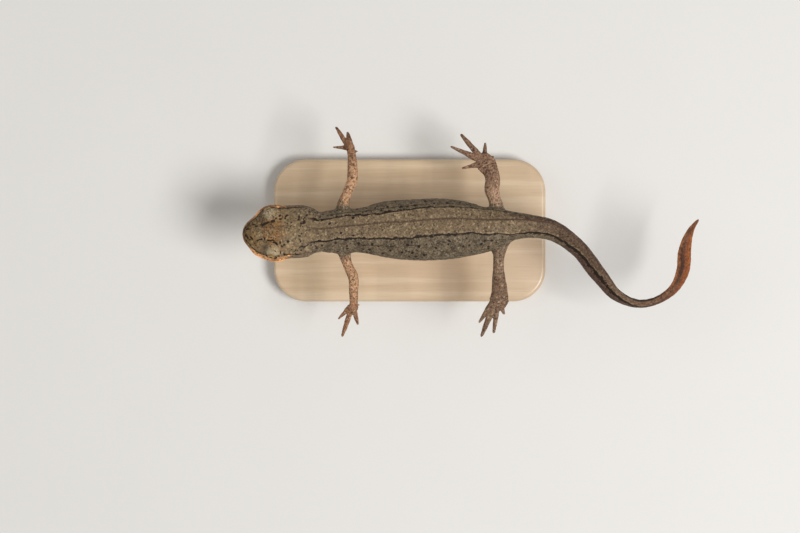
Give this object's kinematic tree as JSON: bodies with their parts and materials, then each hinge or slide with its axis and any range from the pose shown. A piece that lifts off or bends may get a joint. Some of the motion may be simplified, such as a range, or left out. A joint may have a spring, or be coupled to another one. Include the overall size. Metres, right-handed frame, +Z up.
{
  "type": "smooth newt",
  "caption": "Life-size smooth newt afloat with its legs spread and its tail curled, held over a flat display stand by short rods.",
  "frame": {"origin": "centre of the underside of the stand's base", "axes": "+X from the snout to the tail, +Y to the animal's right, +Z up"},
  "size_m": [0.0685, 0.0318, 0.0183],
  "materials": {
    "skin": "moist olive-brown skin with fine grain",
    "limb_skin": "moist tan skin speckled with brown",
    "eye": "glossy golden iris with a dark pupil",
    "stand_wood": "pale maple under satin lacquer",
    "stand_steel": "satin turned steel"
  },
  "bodies": {
    "root": {"head": "skin", "eye_right": "eye", "eye_left": "eye", "neck": "skin", "torso": "skin", "tail_root": "skin", "tail_middle": "skin", "tail_bend": "skin", "tail_tip": "skin", "upper_arm_right": "limb_skin", "forearm_right": "limb_skin", "hand_right": "limb_skin", "upper_arm_left": "limb_skin", "forearm_left": "limb_skin", "hand_left": "limb_skin", "thigh_right": "limb_skin", "shank_right": "limb_skin", "foot_right": "limb_skin", "thigh_left": "limb_skin", "shank_left": "limb_skin", "foot_left": "limb_skin", "stand_base": "stand_wood", "stand_rod_front": "stand_steel", "stand_rod_rear": "stand_steel"}
  },
  "joints": []
}
